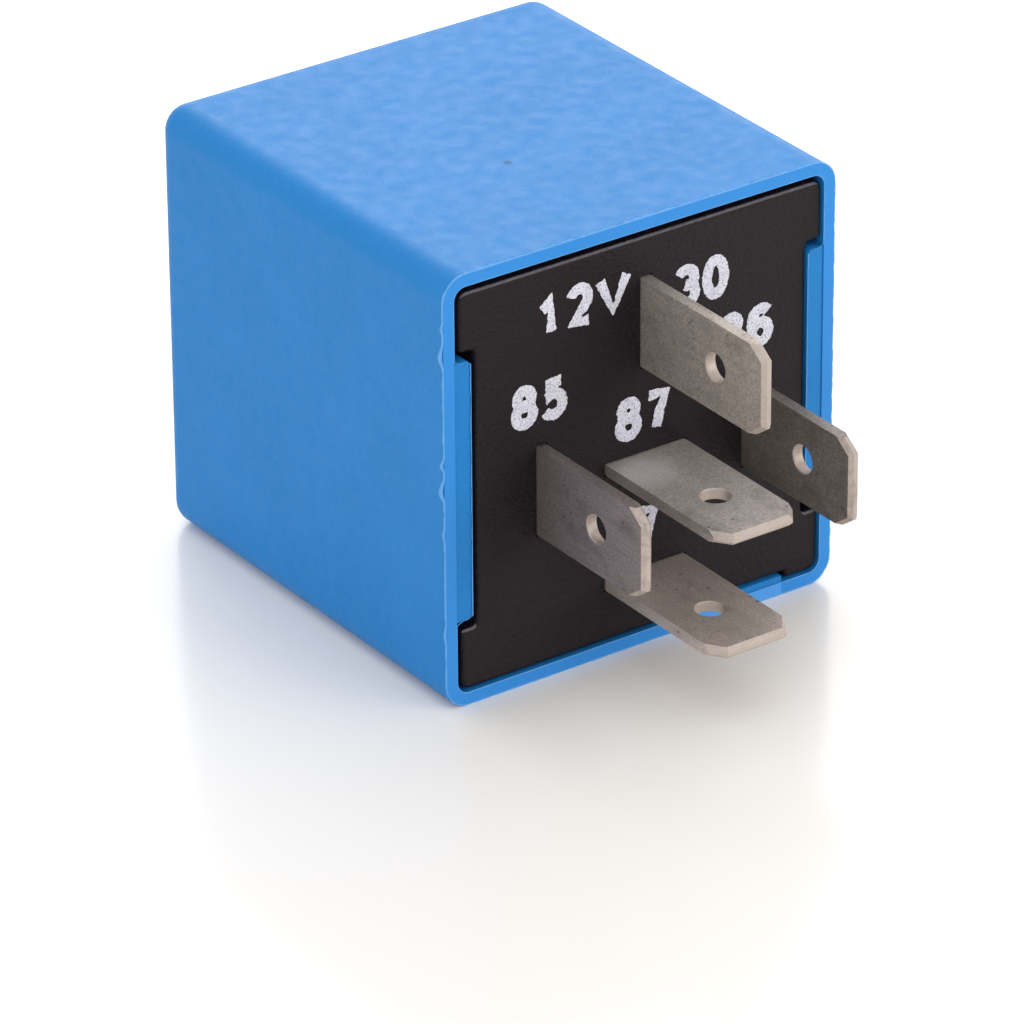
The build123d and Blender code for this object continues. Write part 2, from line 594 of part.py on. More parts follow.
def leaf_steps():
    """Centreline of the contact leaf at rest: start point and steps in Y and Z."""
    swing = math.radians(OPEN_ANGLE)
    rise = math.radians(HUMP_RISE)
    leaf_z = YOKE_TOP_Z + LEAF_THICKNESS / 2
    reach = closed_back_y + LEAF_THICKNESS / 2 - HINGE_Y
    line_y = HINGE_Y + reach * math.cos(swing)
    line_z = HINGE_Z + reach * math.sin(swing)
    foot_rise = HUMP_FOOT_RADIUS * (1 - math.cos(rise))
    hump_end_z = leaf_z + foot_rise + HUMP_RADIUS * (math.sin(swing) - math.cos(rise))
    hump_end_y = line_y + (line_z - hump_end_z) * math.tan(swing)
    hump_y = (HUMP_FOOT_RADIUS + HUMP_RADIUS) * math.sin(rise) + HUMP_RADIUS * math.cos(swing)
    flat = hump_end_y - hump_y - LEAF_START_Y
    hanging = (hump_end_z - LEAF_TIP_Z) / math.cos(swing)
    steps = [
        ("run", flat, 0),
        ("bend", HUMP_FOOT_RADIUS, HUMP_RISE),
        ("bend", HUMP_RADIUS, -(HUMP_RISE + 90 - OPEN_ANGLE)),
        ("run", hanging, 0),
    ]
    return (LEAF_START_Y, leaf_z), steps


def make_contact_spring():
    """Leaf spring from the top of the yoke, over the hinge and down the back of the armature."""
    start, steps = leaf_steps()
    leaf = bent_strip(Plane.YZ, start, 0, steps, LEAF_THICKNESS, LEAF_WIDTH, MIDDLE_X)
    half = LEAF_WIDTH / 2
    tip_half = LEAF_TIP_WIDTH / 2
    taper_low, taper_high = LEAF_TAPER_Z
    above = YOKE_TOP_Z + HUMP_FOOT_RADIUS + HUMP_RADIUS
    below = LEAF_TIP_Z - 1
    outline = Polyline(
        (-half, above),
        (-half, taper_high),
        (-tip_half, taper_low),
        (-tip_half, below),
        (tip_half, below),
        (tip_half, taper_low),
        (half, taper_high),
        (half, above),
        close=True,
    )
    behind = closed_back_y + HUMP_RADIUS + HUMP_FOOT_RADIUS
    leaf &= prism_y(Pos(MIDDLE_X, 0) * make_face(outline), 0, behind)
    window_x = (MIDDLE_X - HUMP_WINDOW / 2, MIDDLE_X + HUMP_WINDOW / 2)
    leaf -= block(window_x, (HUMP_WINDOW_START_Y, behind), (HUMP_WINDOW_BOTTOM_Z, above))
    for x, y in YOKE_RIVETS:
        leaf -= rod_z(x, y, RIVET_RADIUS + LOOSE_FIT, (YOKE_TOP_Z - 1, above))
    for x, z in ARMATURE_RIVETS:
        leaf -= swing_open(rod_y(x, z, ARMATURE_RIVET_RADIUS + LOOSE_FIT, (HINGE_Y, behind)))
    leaf -= swing_open(rod_y(MIDDLE_X, CONTACT_Z, RIVET_RADIUS + LOOSE_FIT, (HINGE_Y, behind)))
    return leaf


def headed_rivet(axis_rod, x, other, radius, head_radius, shank, head):
    """Rivet made of a shank and one rounded head, along Y or Z."""
    body = axis_rod(x, other, radius, shank)
    cap = axis_rod(x, other, head_radius, head)
    outward = head[1] - shank[1] if head[1] > shank[1] else head[0] - shank[0]
    axis = Axis.Y if axis_rod is rod_y else Axis.Z
    cap_face = cap.faces().sort_by(axis)[-1 if outward > 0 else 0]
    return body + fillet(cap_face.edges(), RIVET_EDGE_RADIUS)


def make_moving_contact():
    """Silver contact riveted in the leaf's tip."""
    face_y = closed_back_y - CONTACT_THICKNESS
    leaf_back = closed_back_y + LEAF_THICKNESS
    button = rod_y(MIDDLE_X, CONTACT_Z, CONTACT_RADIUS, (face_y, closed_back_y))
    button = fillet(button.faces().sort_by(Axis.Y)[0].edges(), CONTACT_EDGE_RADIUS)
    shank = rod_y(MIDDLE_X, CONTACT_Z, RIVET_RADIUS, (closed_back_y, leaf_back))
    tail = rod_y(MIDDLE_X, CONTACT_Z, MOVING_TAIL_RADIUS, (leaf_back, leaf_back + CONTACT_TAIL_HEIGHT))
    tail = fillet(tail.faces().sort_by(Axis.Y)[-1].edges(), CONTACT_TAIL_EDGE)
    return swing_open(button + shank + tail)


def make_fixed_contact():
    """Silver contact riveted in the tab of the lower strip."""
    tab_back = TAB_CENTRE_Y + BLADE_THICKNESS / 2
    tab_front = TAB_CENTRE_Y - BLADE_THICKNESS / 2
    face_y = closed_back_y - CONTACT_THICKNESS - 0.05
    button = rod_y(MIDDLE_X, CONTACT_Z, CONTACT_RADIUS, (tab_back, face_y))
    button = fillet(button.faces().sort_by(Axis.Y)[-1].edges(), CONTACT_EDGE_RADIUS)
    shank = rod_y(MIDDLE_X, CONTACT_Z, RIVET_RADIUS, (tab_front, tab_back))
    tail = rod_y(MIDDLE_X, CONTACT_Z, FIXED_TAIL_RADIUS, (tab_front - CONTACT_TAIL_HEIGHT, tab_front))
    tail = fillet(tail.faces().sort_by(Axis.Y)[0].edges(), CONTACT_TAIL_EDGE)
    return button + shank + tail


def make_stop_bracket():
    """Bent bracket on the bobbin's lug whose finger stops the armature's return."""
    half = STOP_THICKNESS / 2
    foot_y = BOBBIN_REAR_Y + half
    finger_y = STOP_FINGER_Y + half
    bracket = bent_strip(
        Plane.XY,
        (STOP_START_X, foot_y),
        0,
        [
            ("run", STOP_ARM_X - STOP_BEND - STOP_START_X, 0),
            ("bend", STOP_BEND, 90),
            ("run", finger_y - foot_y - 2 * STOP_BEND, 0),
            ("bend", STOP_BEND, 90),
            ("run", STOP_FINGER_RUN, 0),
        ],
        STOP_THICKNESS,
        STOP_Z[1] - STOP_Z[0],
        (STOP_Z[0] + STOP_Z[1]) / 2,
    )
    through = (BOBBIN_REAR_Y - 1, BOBBIN_REAR_Y + 1)
    return bracket - rod_y(*STOP_STAKE, STOP_STAKE_RADIUS + LOOSE_FIT, through)


def make_terminal_rivets():
    """Rivets that hold blade 30 on the yoke's foot."""
    front = YOKE_FRONT_Y - BLADE_THICKNESS
    shank = (front, YOKE_FRONT_Y + YOKE_THICKNESS)
    radius, height = TERMINAL_RIVET_HEAD
    head = (front - height, front)
    return [headed_rivet(rod_y, x, z, RIVET_RADIUS, radius, shank, head) for x, z in TERMINAL_RIVETS]


def make_yoke_rivets():
    """Rivets that hold the leaf on the yoke's leg."""
    top = YOKE_TOP_Z + LEAF_THICKNESS
    shank = (YOKE_TOP_Z - YOKE_THICKNESS, top)
    radius, height = YOKE_RIVET_HEAD
    head = (top, top + height)
    return [headed_rivet(rod_z, x, y, RIVET_RADIUS, radius, shank, head) for x, y in YOKE_RIVETS]


def make_armature_rivets():
    """Rivets that hold the leaf on the armature."""
    back = closed_back_y + LEAF_THICKNESS
    shank = (HINGE_Y + 0.1, back)
    radius, height = ARMATURE_RIVET_HEAD
    head = (back, back + height)
    rivets = [headed_rivet(rod_y, x, z, ARMATURE_RIVET_RADIUS, radius, shank, head) for x, z in ARMATURE_RIVETS]
    return [swing_open(rivet) for rivet in rivets]


# ---------------------------------------------------------------- every node
terminal_85 = make_coil_terminal("85")
terminal_86 = make_coil_terminal("86")
coil_leads = [make_coil_lead(-1, terminal_85), make_coil_lead(1, terminal_86)]
resistor_leads = make_resistor_leads()

nodes = {
    "cover": make_cover(),
    "base": make_base(),
    "terminal_30": make_terminal_30(),
    "terminal_85": terminal_85,
    "terminal_86": terminal_86,
    "terminal_87_centre": make_terminal_87_centre(),
    "terminal_87_lower": make_terminal_87_lower(),
    "terminal_rivets": make_terminal_rivets(),
    "yoke": make_yoke(),
    "yoke_rivets": make_yoke_rivets(),
    "core": make_core(),
    "bobbin": make_bobbin(),
    "coil_winding": make_coil_winding(),
    "coil_lead_85": coil_leads[0],
    "coil_lead_86": coil_leads[1],
    "resistor_body": make_resistor_body(),
    "resistor_leads": resistor_leads,
    "solder_joints": make_solder_joints(coil_leads + resistor_leads),
    "armature": make_armature(),
    "armature_rivets": make_armature_rivets(),
    "contact_spring": make_contact_spring(),
    "moving_contact": make_moving_contact(),
    "fixed_contact": make_fixed_contact(),
    "stop_bracket": make_stop_bracket(),
}

os.makedirs("parts", exist_ok=True)
for name, shape in nodes.items():
    if isinstance(shape, list):
        shape = Compound(children=shape)
    export_step(shape, f"parts/{name}.step")
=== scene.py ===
"""Looks of the plug-in relay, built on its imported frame.

Metres throughout. -Y is the plug side, +Y runs into the cover, +Z is up, +X is to the right when
the blades are looked at. Sizes named in millimetres are multiplied by MM.
"""
import math

import bmesh
import bpy
from mathutils import Matrix, Vector, noise


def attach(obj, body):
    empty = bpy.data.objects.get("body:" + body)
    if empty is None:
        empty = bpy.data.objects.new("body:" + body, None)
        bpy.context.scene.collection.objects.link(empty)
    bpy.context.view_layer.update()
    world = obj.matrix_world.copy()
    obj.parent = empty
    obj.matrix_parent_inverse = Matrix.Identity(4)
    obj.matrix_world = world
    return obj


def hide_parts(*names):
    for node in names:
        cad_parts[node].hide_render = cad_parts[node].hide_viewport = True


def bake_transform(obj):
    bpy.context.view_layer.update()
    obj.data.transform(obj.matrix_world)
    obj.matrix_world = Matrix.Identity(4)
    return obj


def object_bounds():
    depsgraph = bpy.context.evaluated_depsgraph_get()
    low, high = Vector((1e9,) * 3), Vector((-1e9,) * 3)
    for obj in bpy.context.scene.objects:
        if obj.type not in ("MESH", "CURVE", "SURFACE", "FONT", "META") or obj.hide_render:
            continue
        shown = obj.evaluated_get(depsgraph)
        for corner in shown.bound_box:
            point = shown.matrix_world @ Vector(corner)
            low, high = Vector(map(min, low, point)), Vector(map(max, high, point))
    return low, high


MM = 0.001

# ---------------------------------------------------------------- sizes shared with the part
RIM_Y = -0.2
COVER_WIDTH = 31.0
COVER_HEIGHT = 30.85
COVER_RADIUS = 1.8
WALL = 0.9
CAVITY_RADIUS = 0.9
PAD_INNER_X = 13.35
PAD_HALF_HEIGHT = 9.25
LEDGE_X = (2.4, 11.5)       # thicker stretch of the lower rim
MIDDLE_X = 0.45
SIDE_OFFSET = 8.2           # from the middle to blades 85 and 86
SIDE_Z = -1.75
COIL_Z = 0.8
WINDING_RADIUS = 7.4
TUBE_RADIUS = 4.5
WINDING_Y = (8.85, 22.4)
FINGER_FACE = 7.8           # from the middle to the inner face of a finger
FINGER_Z = -3.65
COIL_LEAD_Y = 9.7
RESISTOR_Y = 11.3
RESISTOR_Z = -8.3
RESISTOR_HALF_LENGTH = 3.1

# ---------------------------------------------------------------- sizes of the added detail
WIRE_RADIUS = 0.13
LEGEND_STROKE = 0.41        # half the width of a printed stroke
LEGEND_THICKNESS = 0.02
LEGEND_VOXEL = 0.07
LEGEND_PITCH = 2.30         # from one digit to the next
FLASH_RADIUS = 0.05
FLASH_INSET = 0.05          # of the outer thread from the rim's outline
SWELLINGS = (               # on the left side: height Z, reach and rise of each
    (10.1, 1.0, 0.22), (2.4, 0.5, 0.20), (0.6, 0.9, 0.26),
    (-2.6, 0.6, 0.10), (12.0, 0.5, 0.10), (-9.8, 0.7, 0.08),
)
LEGENDS = (                 # text, then X and Z of its lower left corner
    ("12V", -8.1, 8.97), ("30", 2.65, 7.88), ("86", 6.25, 3.38),
    ("85", -10.15, 3.0), ("87", -1.95, -0.3), ("87", -2.8, -8.5),
)

# ---------------------------------------------------------------- places of painted detail
DIMPLE = (-2.17, 11.48, 15.42)
LEDGE_FADE_Z = (-13.80, -13.85)
HOLE_30 = (MIDDLE_X, -7.95, 7.9)
HOLE_85 = (MIDDLE_X - SIDE_OFFSET, -6.45, SIDE_Z)
HOLE_86 = (MIDDLE_X + SIDE_OFFSET, -6.45, SIDE_Z)
HOLE_87_CENTRE = (MIDDLE_X, -7.55, -1.9)
HOLE_87_LOWER = (MIDDLE_X, -7.05, -10.3)
HOLE_SPOT_RADIUS = 1.12
BURNISHED_AT = (MIDDLE_X - 1.7, -2.0, -1.5)
BURNISHED_RADIUS = 3.0

# ---------------------------------------------------------------- colours shared by finishes
LIGHT_TIN = (0.60, 0.525, 0.460)
DARK_TIN = (0.34, 0.298, 0.262)
SMUDGE = (0.13, 0.112, 0.10)
ALONG_BLADE = (1.0, 0.06, 1.0)      # stretch of a texture drawn out along Y

# ---------------------------------------------------------------- leaf, in millimetres
LEAF_CUTS_Y = (20.0, 0.25, 28)      # first cut, spacing, count
LEAF_CUTS_Z = (4.0, 0.3, 30)

# ---------------------------------------------------------------- light, in metres and watts
WORLD_STRENGTH = 0.92
FLOOR_HALF_SIZE = 2500              # millimetres
SOFTBOXES = (                       # name, place, aim, size, power
    ("overhead", (0.05, 0.15, 0.75), (0, 0.01, 0), (0.7, 0.7), 0.8),
    ("behind", (0.75, 1.05, 0.52), (0, 0.01, 0), (1.3, 0.7), 8.2),
    ("left_front", (-0.8, -0.35, 0.35), (0, 0.0, 0), (0.5, 0.5), 0.9),
    ("right_front", (0.55, -0.85, 0.30), (0, 0.0, 0), (0.7, 0.5), 2.8),
)

# ---------------------------------------------------------------- camera
CAMERA_AT = (-0.25447, -0.34611, 0.22114)
CAMERA_HEADING = 35.223     # degrees from +Y towards +X
CAMERA_DIP = 27.84          # degrees below the horizon
CAMERA_ROLL = -0.389
LENS = 264.0                # millimetres on a 36 mm sensor


# ---------------------------------------------------------------- materials
class Finish:
    """A procedural material: one principled shader and the textures that vary it."""

    def __init__(self, name, roughness, metallic=0.0, specular=0.5):
        self.material = bpy.data.materials.new(name)
        self.material.use_nodes = True
        self.nodes = self.material.node_tree.nodes
        self.links = self.material.node_tree.links
        self.shader = self.nodes["Principled BSDF"]
        self.shader.inputs["Roughness"].default_value = roughness
        self.shader.inputs["Metallic"].default_value = metallic
        self.shader.inputs["Specular IOR Level"].default_value = specular
        self.place = self.nodes.new("ShaderNodeTexCoord").outputs["Object"]

    def texture(self, kind, size, stretch=(1, 1, 1)):
        """Texture node in the object's own space, with features of about that size in millimetres."""
        mapping = self.nodes.new("ShaderNodeMapping")
        mapping.inputs["Scale"].default_value = [part / (size * MM) for part in stretch]
        self.links.new(self.place, mapping.inputs["Vector"])
        texture = self.nodes.new(kind)
        texture.inputs["Scale"].default_value = 1.0
        self.links.new(mapping.outputs["Vector"], texture.inputs["Vector"])
        return texture

    def noise(self, size, detail=2.0, stretch=(1, 1, 1)):
        """Noise value from 0 to 1."""
        texture = self.texture("ShaderNodeTexNoise", size, stretch)
        texture.inputs["Detail"].default_value = detail
        return texture.outputs[0]

    def cells(self, size, stretch=(1, 1, 1)):
        """Distance to the nearest cell centre, from 0 to about 1."""
        return self.texture("ShaderNodeTexVoronoi", size, stretch).outputs["Distance"]

    def remap(self, value, low, high, start=0.0, end=1.0):
        """Value scaled from low..high to start..end, and held within them."""
        node = self.nodes.new("ShaderNodeMapRange")
        limits = {"From Min": low, "From Max": high, "To Min": start, "To Max": end}
        for name, number in limits.items():
            node.inputs[name].default_value = number
        self.links.new(value, node.inputs["Value"])
        return node.outputs["Result"]

    def math(self, operation, first, second):
        """Result of one sum on two values, the second a number or a socket."""
        node = self.nodes.new("ShaderNodeMath")
        node.operation = operation
        self.links.new(first, node.inputs[0])
        if isinstance(second, (int, float)):
            node.inputs[1].default_value = second
        else:
            self.links.new(second, node.inputs[1])
        return node.outputs[0]

    def facing(self, letter):
        """How squarely the surface faces along an axis, from -1 to 1."""
        coordinates = self.nodes.new("ShaderNodeTexCoord")
        node = self.nodes.new("ShaderNodeSeparateXYZ")
        self.links.new(coordinates.outputs["Normal"], node.inputs[0])
        return node.outputs[letter]

    def facing_out(self):
        """How squarely the surface faces -Y, out along the blades, from -1 to 1."""
        return self.math("MULTIPLY", self.facing("Y"), -1.0)

    def spot(self, centre, radius, sharp=0.4):
        """1 at a place in millimetres, falling to 0 at the radius, from that share of it outwards."""
        node = self.nodes.new("ShaderNodeVectorMath")
        node.operation = "DISTANCE"
        self.links.new(self.place, node.inputs[0])
        node.inputs[1].default_value = [part * MM for part in centre]
        return self.remap(node.outputs["Value"], radius * MM, sharp * radius * MM)

    def axis(self, name):
        """One coordinate of the place, in metres."""
        node = self.nodes.new("ShaderNodeSeparateXYZ")
        self.links.new(self.place, node.inputs[0])
        return node.outputs[name]

    def mix(self, factor, first, second):
        """Colour between two colours, each a tuple or a socket.

        A mix node holds sockets of every type, so its colour sockets are found by number.
        """
        node = self.nodes.new("ShaderNodeMix")
        node.data_type = "RGBA"
        self.links.new(factor, node.inputs[0])
        for index, colour in ((6, first), (7, second)):
            if isinstance(colour, tuple):
                node.inputs[index].default_value = (*colour, 1.0)
            else:
                self.links.new(colour, node.inputs[index])
        return node.outputs[2]

    def set(self, name, value):
        """Link a socket to one of the shader's inputs."""
        self.links.new(value, self.shader.inputs[name])

    def bump(self, height, distance, strength=1.0):
        """Relief of that depth in millimetres, on top of any relief already there."""
        node = self.nodes.new("ShaderNodeBump")
        node.inputs["Distance"].default_value = distance * MM
        node.inputs["Strength"].default_value = strength
        self.links.new(height, node.inputs["Height"])
        normal = self.shader.inputs["Normal"]
        if normal.is_linked:
            self.links.new(normal.links[0].from_socket, node.inputs["Normal"])
        self.links.new(node.outputs["Normal"], normal)


def cover_finish():
    """Blue moulded plastic: fine grain, faint clouding, and painted shade for one small dent on the upper
    side.

    The front of the rim is painted paler as a painted highlight, and its thicker stretch at the bottom paler
    still.
    """
    finish = Finish("cover_blue", 0.5, specular=0.20)
    cloud = finish.noise(6.0, 3.0)
    grain = finish.noise(0.22, 2.0)
    colour = finish.mix(finish.remap(cloud, 0.35, 0.65), (0.011, 0.196, 0.535), (0.013, 0.208, 0.568))
    colour = finish.mix(finish.remap(grain, 0.3, 0.7, 0.0, 0.22), colour, (0.035, 0.270, 0.680))
    # Painted shade: a darker blue dot stands for the shade inside a small dent that is not modelled.
    dimple_shade = finish.spot(DIMPLE, 0.42)
    colour = finish.mix(dimple_shade, colour, (0.012, 0.110, 0.330))
    # Painted highlight: faces at the very front of the rim, turned out along -Y, get a paler blue.
    front = finish.remap(finish.axis("Y"), (RIM_Y + 0.06) * MM, (RIM_Y + 0.02) * MM)
    rim = finish.math("MULTIPLY", finish.remap(finish.facing_out(), 0.5, 0.9), front)
    colour = finish.mix(rim, colour, (0.034, 0.262, 0.700))
    low = finish.remap(finish.axis("Z"), LEDGE_FADE_Z[0] * MM, LEDGE_FADE_Z[1] * MM)
    before_end = finish.remap(finish.axis("X"), LEDGE_X[1] * MM, (LEDGE_X[1] - 0.08) * MM)
    after_start = finish.remap(finish.axis("X"), LEDGE_X[0] * MM, (LEDGE_X[0] + 0.08) * MM)
    ledge = finish.math("MULTIPLY", finish.math("MULTIPLY", before_end, after_start), low)
    colour = finish.mix(finish.math("MULTIPLY", ledge, rim), colour, (0.085, 0.350, 0.830))
    finish.set("Base Color", colour)
    finish.set("Roughness", finish.remap(finish.noise(1.2, 3.0), 0.3, 0.7, 0.42, 0.56))
    finish.bump(grain, 0.018, 0.6)
    finish.bump(finish.noise(2.6, 2.0), 0.02, 0.25)
    return finish.material


def flash_finish():
    """The cover's plastic where it is thin and stress-whitened, paler than the cover; on the rim's outer
    edge the pale thread is also a painted highlight.
    """
    finish = Finish("flash_blue", 0.35, specular=0.4)
    # Pale blue: stress-whitened flash, and along the rim's outer edge a painted highlight line.
    finish.set("Base Color", finish.mix(finish.noise(0.4, 2.0), (0.07, 0.31, 0.72), (0.14, 0.41, 0.82)))
    finish.bump(finish.noise(0.12), 0.01, 0.5)
    return finish.material


def base_finish():
    """Black moulded plastic with a fine pebbled face and a painted highlight, a paler line, along its upper
    front edge.
    """
    finish = Finish("base_black", 0.6, specular=0.25)
    grain = finish.noise(0.28, 3.0, (1.0, 1.0, 1.6))
    pebble = finish.cells(0.42, (1.0, 1.0, 1.5))
    colour = finish.mix(finish.remap(grain, 0.35, 0.7), (0.0052, 0.0030, 0.0040), (0.0165, 0.0105, 0.0130))
    patch = finish.remap(finish.noise(5.0), 0.4, 0.7, 0.0, 0.5)
    colour = finish.mix(patch, colour, (0.0115, 0.0078, 0.0096))
    # Painted highlight: faces turned both up and out along -Y, on the rounded upper front edge, get a light
    # grey.
    edge = finish.math("MULTIPLY", finish.remap(finish.facing_out(), 0.25, 0.45),
                       finish.remap(finish.facing("Z"), 0.45, 0.65))
    finish.set("Base Color", finish.mix(edge, colour, (0.150, 0.135, 0.142)))
    finish.set("Roughness", finish.remap(grain, 0.3, 0.7, 0.5, 0.72))
    finish.bump(grain, 0.10, 1.0)
    finish.bump(pebble, 0.06, 0.6)
    return finish.material


def blade_finish(name, light, dark, smudge, smudge_amount, hole, burnished=None):
    """Dull plated metal: speckle, smudges, drawn streaks and fine scratches along the blade.

    The cut tip, its bevel and the wall of the hole are brighter, as freshly sheared metal is.
    Hole is the middle of the hole, and burnished a place rubbed bright, both in millimetres.
    """
    finish = Finish(name, 0.55, metallic=0.72)
    speckle = finish.noise(0.16, 3.0)
    cloud = finish.noise(2.4, 4.0, (1.0, 0.6, 1.0))
    streak = finish.noise(0.30, 3.0, ALONG_BLADE)
    scratch = finish.noise(0.09, 2.0, ALONG_BLADE)
    colour = finish.mix(finish.remap(speckle, 0.3, 0.7), dark, light)
    colour = finish.mix(finish.remap(streak, 0.45, 0.75, 0.0, 0.45), colour, dark)
    colour = finish.mix(finish.remap(cloud, 0.5, 0.72, 0.0, smudge_amount), colour, smudge)
    colour = finish.mix(finish.remap(scratch, 0.68, 0.76, 0.0, 0.6), colour, smudge)
    pits = finish.math("MULTIPLY", finish.remap(finish.cells(0.75), 0.22, 0.10),
                       finish.remap(cloud, 0.4, 0.6))
    colour = finish.mix(finish.math("MULTIPLY", pits, 0.75), colour, smudge)
    if burnished:
        rubbed = finish.math("MULTIPLY", finish.spot(burnished, BURNISHED_RADIUS), 0.6)
        colour = finish.mix(rubbed, colour, (0.80, 0.76, 0.74))
    facing = finish.remap(finish.facing_out(), 0.15, 0.45)
    inside = finish.spot(hole, HOLE_SPOT_RADIUS, sharp=0.96)
    bare = finish.math("MAXIMUM", facing, inside)
    bare = finish.math("MULTIPLY", bare, finish.remap(finish.noise(0.45, 4.0), 0.35, 0.65, 0.55, 1.15))
    finish.set("Base Color", finish.mix(bare, colour, (0.515, 0.440, 0.388)))
    finish.set("Roughness", finish.remap(cloud, 0.3, 0.75, 0.48, 0.66))
    finish.bump(speckle, 0.012, 0.5)
    finish.bump(scratch, 0.01, 0.35)
    return finish.material


def metal_finish(name, light, dark, roughness, grain_size, stretch=(1, 1, 1)):
    """Plain metal with a grain, patchy brightness and a little relief."""
    finish = Finish(name, sum(roughness) / 2, metallic=1.0)
    grain = finish.noise(grain_size, 3.0, stretch)
    patch = finish.noise(3.0, 3.0)
    colour = finish.mix(finish.remap(grain, 0.3, 0.7), dark, light)
    finish.set("Base Color", finish.mix(finish.remap(patch, 0.45, 0.75, 0.0, 0.5), colour, dark))
    finish.set("Roughness", finish.remap(patch, 0.3, 0.7, *roughness))
    finish.bump(grain, 0.01, 0.5)
    return finish.material


def bobbin_finish():
    """Natural nylon with short glass fibres near its surface."""
    finish = Finish("bobbin_nylon", 0.45)
    fibre = finish.noise(0.18, 2.0, (1.0, 0.25, 1.0))
    colour = finish.mix(finish.remap(fibre, 0.35, 0.7), (0.66, 0.61, 0.50), (0.80, 0.76, 0.66))
    finish.set("Base Color", colour)
    finish.set("Roughness", finish.remap(finish.noise(1.0), 0.3, 0.7, 0.38, 0.52))
    finish.bump(fibre, 0.012, 0.5)
    return finish.material


def wire_finish():
    """Enamelled copper wire: clear coat over copper, a little darker here and there."""
    finish = Finish("coil_copper", 0.28, metallic=1.0)
    patch = finish.noise(1.6, 3.0, (1.0, 2.0, 1.0))
    colour = finish.mix(finish.remap(patch, 0.35, 0.7), (0.74, 0.27, 0.11), (0.52, 0.16, 0.06))
    finish.set("Base Color", colour)
    finish.shader.inputs["Coat Weight"].default_value = 0.6
    finish.shader.inputs["Coat Roughness"].default_value = 0.15
    finish.set("Roughness", finish.remap(patch, 0.3, 0.7, 0.22, 0.34))
    return finish.material


def resistor_finish():
    """Pale blue lacquer with four rings whose colours are a plain value code."""
    finish = Finish("resistor_lacquer", 0.25)
    speckle = finish.noise(0.25, 2.0)
    colour = finish.mix(finish.remap(speckle, 0.3, 0.7), (0.14, 0.38, 0.46), (0.18, 0.45, 0.54))
    along = finish.axis("X")
    rings = (
        (-1.9, (0.20, 0.05, 0.28)),
        (-0.9, (0.03, 0.18, 0.06)),
        (0.1, (0.30, 0.09, 0.03)),
        (1.9, (0.55, 0.36, 0.06)),
    )
    for offset, ring_colour in rings:
        away = finish.math("ABSOLUTE", finish.math("SUBTRACT", along, (MIDDLE_X + offset) * MM), 0.0)
        colour = finish.mix(finish.remap(away, 0.24 * MM, 0.20 * MM), colour, ring_colour)
    finish.set("Base Color", colour)
    finish.bump(speckle, 0.01, 0.4)
    return finish.material


def legend_finish():
    """White print with the dark face showing through in specks."""
    finish = Finish("legend_white", 0.6, specular=0.3)
    fleck = finish.noise(0.13, 3.0)
    patch = finish.noise(0.7, 2.0)
    colour = finish.mix(finish.remap(fleck, 0.50, 0.66, 0.0, 0.7), (0.74, 0.74, 0.83), (0.17, 0.16, 0.20))
    colour = finish.mix(finish.remap(patch, 0.45, 0.75, 0.0, 0.5), colour, (0.46, 0.46, 0.56))
    finish.set("Base Color", colour)
    finish.bump(fleck, 0.01, 0.5)
    return finish.material


def floor_finish():
    """Pale, faintly glossy table top."""
    finish = Finish("studio_floor", 0.20, specular=0.28)
    grain = finish.noise(40.0, 2.0)
    finish.set("Base Color", finish.mix(grain, (0.930, 0.900, 0.862), (0.945, 0.915, 0.878)))
    return finish.material


def paint(thing, material):
    """Give an object one material."""
    thing.data.materials.clear()
    thing.data.materials.append(material)


# ---------------------------------------------------------------- mesh helpers
def add_mesh(name, points, faces, smooth=True):
    """Object made of points in millimetres and faces."""
    mesh = bpy.data.meshes.new(name)
    mesh.from_pydata([Vector(point) * MM for point in points], [], faces)
    mesh.update()
    thing = bpy.data.objects.new(name, mesh)
    bpy.context.scene.collection.objects.link(thing)
    for face in mesh.polygons:
        face.use_smooth = smooth
    return thing


def ring_faces(rings, sides, closed=False):
    """Faces of a tube whose rings of points follow each other."""
    faces = []
    for ring in range(rings if closed else rings - 1):
        here = ring * sides
        there = ((ring + 1) % rings) * sides
        for side in range(sides):
            after = (side + 1) % sides
            faces.append((here + side, here + after, there + after, there + side))
    return faces


def lathe(name, profile, place, sides=32, caps=True):
    """Solid of revolution: profile of (along, radius) pairs, put in space by place(along, across, up)."""
    points = []
    for along, radius in profile:
        for side in range(sides):
            angle = math.tau * side / sides
            points.append(place(along, radius * math.cos(angle), radius * math.sin(angle)))
    faces = ring_faces(len(profile), sides)
    if caps:
        faces.append(tuple(reversed(range(sides))))
        last = (len(profile) - 1) * sides
        faces.append(tuple(range(last, last + sides)))
    thing = add_mesh(name, points, faces)
    outward_faces(thing)
    return thing


def outward_faces(thing):
    """Turn every face of a closed mesh outwards."""
    work = bmesh.new()
    work.from_mesh(thing.data)
    bmesh.ops.recalc_face_normals(work, faces=work.faces)
    work.to_mesh(thing.data)
    work.free()


def join(name, things):
    """One object from several, with the first one's name replaced."""
    bpy.ops.object.select_all(action="DESELECT")
    for thing in things:
        thing.select_set(True)
    bpy.context.view_layer.objects.active = things[0]
    bpy.ops.object.join()
    things[0].name = name
    things[0].data.name = name
    return things[0]


